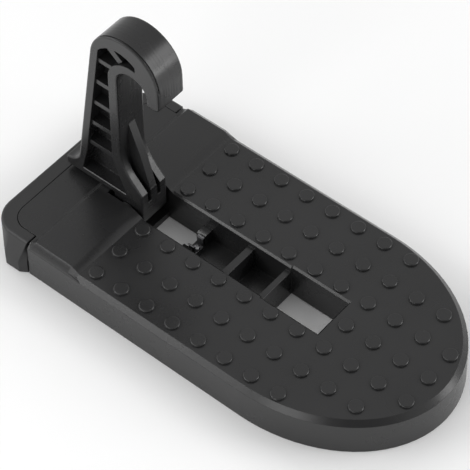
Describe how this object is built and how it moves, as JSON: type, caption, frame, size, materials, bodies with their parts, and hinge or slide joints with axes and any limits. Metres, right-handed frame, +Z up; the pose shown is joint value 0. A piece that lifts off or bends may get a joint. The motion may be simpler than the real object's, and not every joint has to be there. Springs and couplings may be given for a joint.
{
  "type": "car door latch step",
  "caption": "Folding step that hangs on a car door striker: studded tread plate with a round front end, a ribbed hook arm on a hinge pin and a rubber bumper.",
  "frame": {"origin": "on the ground, at the middle of the length and width of the part with its hook arm upright", "axes": "+X runs from the bumper to the round front end, +Y across the tread, +Z up along the upright arm"},
  "size_m": [0.1916, 0.1006, 0.1111],
  "materials": {
    "moulded_black": "fine spark-eroded moulded grain, matte black",
    "arm_black": "smooth satin moulded black",
    "bumper_rubber": "matte black rubber",
    "bright_steel": "bright zinc plated",
    "nylon": "black nylon"
  },
  "bodies": {
    "step": {"tread_plate": "moulded_black", "end_bumper": "bumper_rubber", "hinge_pin": "bright_steel", "retaining_ring_right": "bright_steel", "retaining_ring_left": "bright_steel", "thrust_washer_right": "nylon", "thrust_washer_left": "nylon", "stow_clip": "bright_steel", "stow_clip_screw": "bright_steel", "bumper_screw_rear_right": "bright_steel", "bumper_screw_rear_left": "bright_steel", "bumper_screw_wing_right": "bright_steel", "bumper_screw_wing_left": "bright_steel"},
    "arm": {"hook_arm": "arm_black"}
  },
  "joints": [
    {"name": "arm_fold", "type": "hinge", "parent": "step", "child": "arm", "pos_m": [-0.05715, 0, 0.0137], "axis": [0, 1, 0], "range_deg": [0, 90]}
  ]
}
